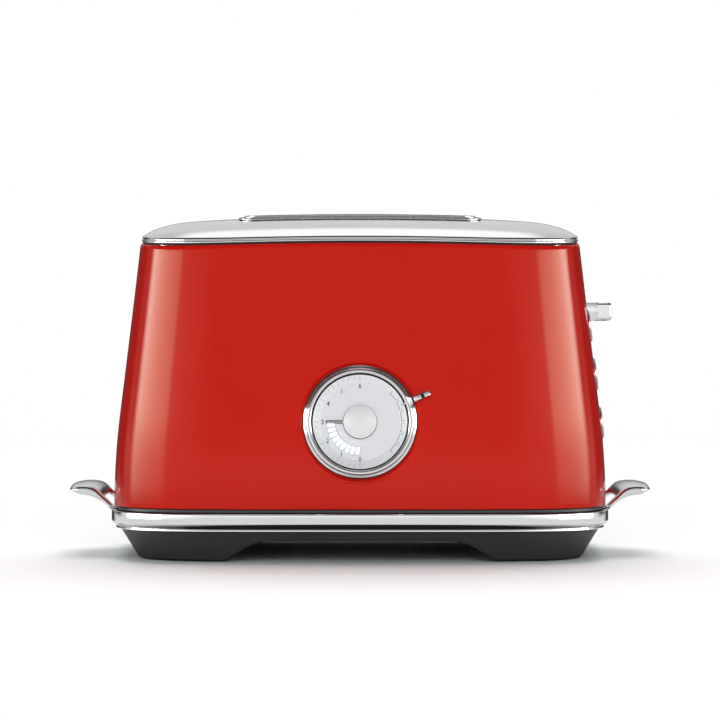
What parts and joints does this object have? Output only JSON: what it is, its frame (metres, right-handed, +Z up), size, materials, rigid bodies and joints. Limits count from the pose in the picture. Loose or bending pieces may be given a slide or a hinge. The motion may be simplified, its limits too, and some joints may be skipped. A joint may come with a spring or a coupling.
{
  "type": "electric toaster",
  "caption": "Electric toaster with a painted body, polished domed lid, base band and handles, a front dial, a side lever with push buttons, and a crumb tray at the rear.",
  "frame": {"origin": "centre of the footprint, on the surface that the feet stand on", "axes": "+X towards the lever and buttons, -Y out of the dial's front, +Z up"},
  "size_m": [0.325, 0.1921, 0.1902],
  "materials": {
    "body_paint": "gloss red paint on sheet steel",
    "chrome": "polished",
    "brushed_silver": "satin silver",
    "dark_plastic": "dark grey, satin",
    "rubber": "matt black",
    "steel": "plain sheet and wire",
    "mica": "pale mica sheet",
    "heater_ribbon": "oxidised heating wire",
    "circuit": "green lacquered circuit board",
    "copper": "lacquered copper winding",
    "dial_white": "pale silver, satin",
    "clear_plastic": "milky light guide"
  },
  "bodies": {
    "housing": {"base_skirt": "dark_plastic", "bottom_plate": "steel", "base_band": "chrome", "base_rim": "dark_plastic", "body_shell": "body_paint", "lid_cover": "chrome", "slot_surround_front": "brushed_silver", "slot_surround_rear": "brushed_silver", "handle_right": "chrome", "handle_left": "chrome", "foot_pad_front_right": "rubber", "foot_pad_front_left": "rubber", "foot_pad_rear_right": "rubber", "foot_pad_rear_left": "rubber", "base_screw_front_right": "steel", "base_screw_front_left": "steel", "base_screw_rear_right": "steel", "base_screw_rear_left": "steel", "chassis_left": "steel", "chassis_right": "steel", "heater_board_front": "mica", "heater_board_centre": "mica", "heater_board_rear": "mica", "heater_ribbon_front": "heater_ribbon", "heater_ribbon_centre_front": "heater_ribbon", "heater_ribbon_centre_rear": "heater_ribbon", "heater_ribbon_rear": "heater_ribbon", "guide_rod_front": "steel", "guide_rod_rear": "steel", "electromagnet": "copper", "lift_spring": "steel", "dial_bezel": "chrome", "dial_scale_ring": "dial_white", "dial_disc": "dial_white", "dial_housing": "dark_plastic", "light_guide": "clear_plastic", "browning_encoder": "dark_plastic", "control_board": "circuit", "button_ring_upper": "brushed_silver", "button_ring_middle": "brushed_silver", "button_ring_lower": "brushed_silver", "button_board": "circuit", "power_board": "circuit", "cord_gland": "rubber"},
    "carriage": {"carriage_plate": "steel", "latch_armature": "steel", "lever_knob": "chrome", "bread_rack_front": "steel", "bread_rack_rear": "steel"},
    "guard_front_outer": {"bread_guard_front_outer": "steel"},
    "guard_front_inner": {"bread_guard_front_inner": "steel"},
    "guard_rear_outer": {"bread_guard_rear_outer": "steel"},
    "guard_rear_inner": {"bread_guard_rear_inner": "steel"},
    "selector": {"selector_ring": "chrome"},
    "browning_dial": {"browning_knob": "brushed_silver"},
    "button_upper": {"button_cap_upper": "chrome"},
    "button_middle": {"button_cap_middle": "chrome"},
    "button_lower": {"button_cap_lower": "chrome"},
    "tray": {"crumb_tray": "steel", "crumb_tray_front": "chrome"}
  },
  "joints": [
    {"name": "carriage_slide", "type": "slide", "parent": "housing", "child": "carriage", "axis": [0, 0, -1], "range_m": [0, 0.048], "stiffness_N_per_m": 60, "springref_m": -0.05, "deforming": ["lift_spring"]},
    {"name": "guard_front_outer_slide", "type": "slide", "parent": "housing", "child": "guard_front_outer", "axis": [0, 1, 0], "range_m": [0, 0.006]},
    {"name": "guard_front_inner_slide", "type": "slide", "parent": "housing", "child": "guard_front_inner", "axis": [0, -1, 0], "range_m": [0, 0.006]},
    {"name": "guard_rear_outer_slide", "type": "slide", "parent": "housing", "child": "guard_rear_outer", "axis": [0, -1, 0], "range_m": [0, 0.006]},
    {"name": "guard_rear_inner_slide", "type": "slide", "parent": "housing", "child": "guard_rear_inner", "axis": [0, 1, 0], "range_m": [0, 0.006]},
    {"name": "selector_turn", "type": "hinge", "parent": "housing", "child": "selector", "pos_m": [0, -0.08941, 0.0756], "axis": [0, -0.9938, 0.1109], "range_deg": [-60, 15]},
    {"name": "browning_turn", "type": "hinge", "parent": "housing", "child": "browning_dial", "pos_m": [0, -0.08941, 0.0756], "axis": [0, -0.9938, 0.1109], "range_deg": [-90, 90]},
    {"name": "button_upper_press", "type": "slide", "parent": "housing", "child": "button_upper", "axis": [-0.9912, 0.0536, -0.1214], "range_m": [0, 0.0015], "stiffness_N_per_m": 300, "springref_m": -0.001},
    {"name": "button_middle_press", "type": "slide", "parent": "housing", "child": "button_middle", "axis": [-0.9916, 0.0454, -0.121], "range_m": [0, 0.0015], "stiffness_N_per_m": 300, "springref_m": -0.001},
    {"name": "button_lower_press", "type": "slide", "parent": "housing", "child": "button_lower", "axis": [-0.9934, 0.0388, -0.1081], "range_m": [0, 0.0015], "stiffness_N_per_m": 300, "springref_m": -0.001},
    {"name": "tray_slide", "type": "slide", "parent": "housing", "child": "tray", "axis": [0, 1, 0], "range_m": [0, 0.165]}
  ],
  "couplings": [
    {"joint": "guard_front_outer_slide", "follows": "carriage_slide", "ratio": 0.125},
    {"joint": "guard_front_inner_slide", "follows": "carriage_slide", "ratio": 0.125},
    {"joint": "guard_rear_outer_slide", "follows": "carriage_slide", "ratio": 0.125},
    {"joint": "guard_rear_inner_slide", "follows": "carriage_slide", "ratio": 0.125}
  ]
}
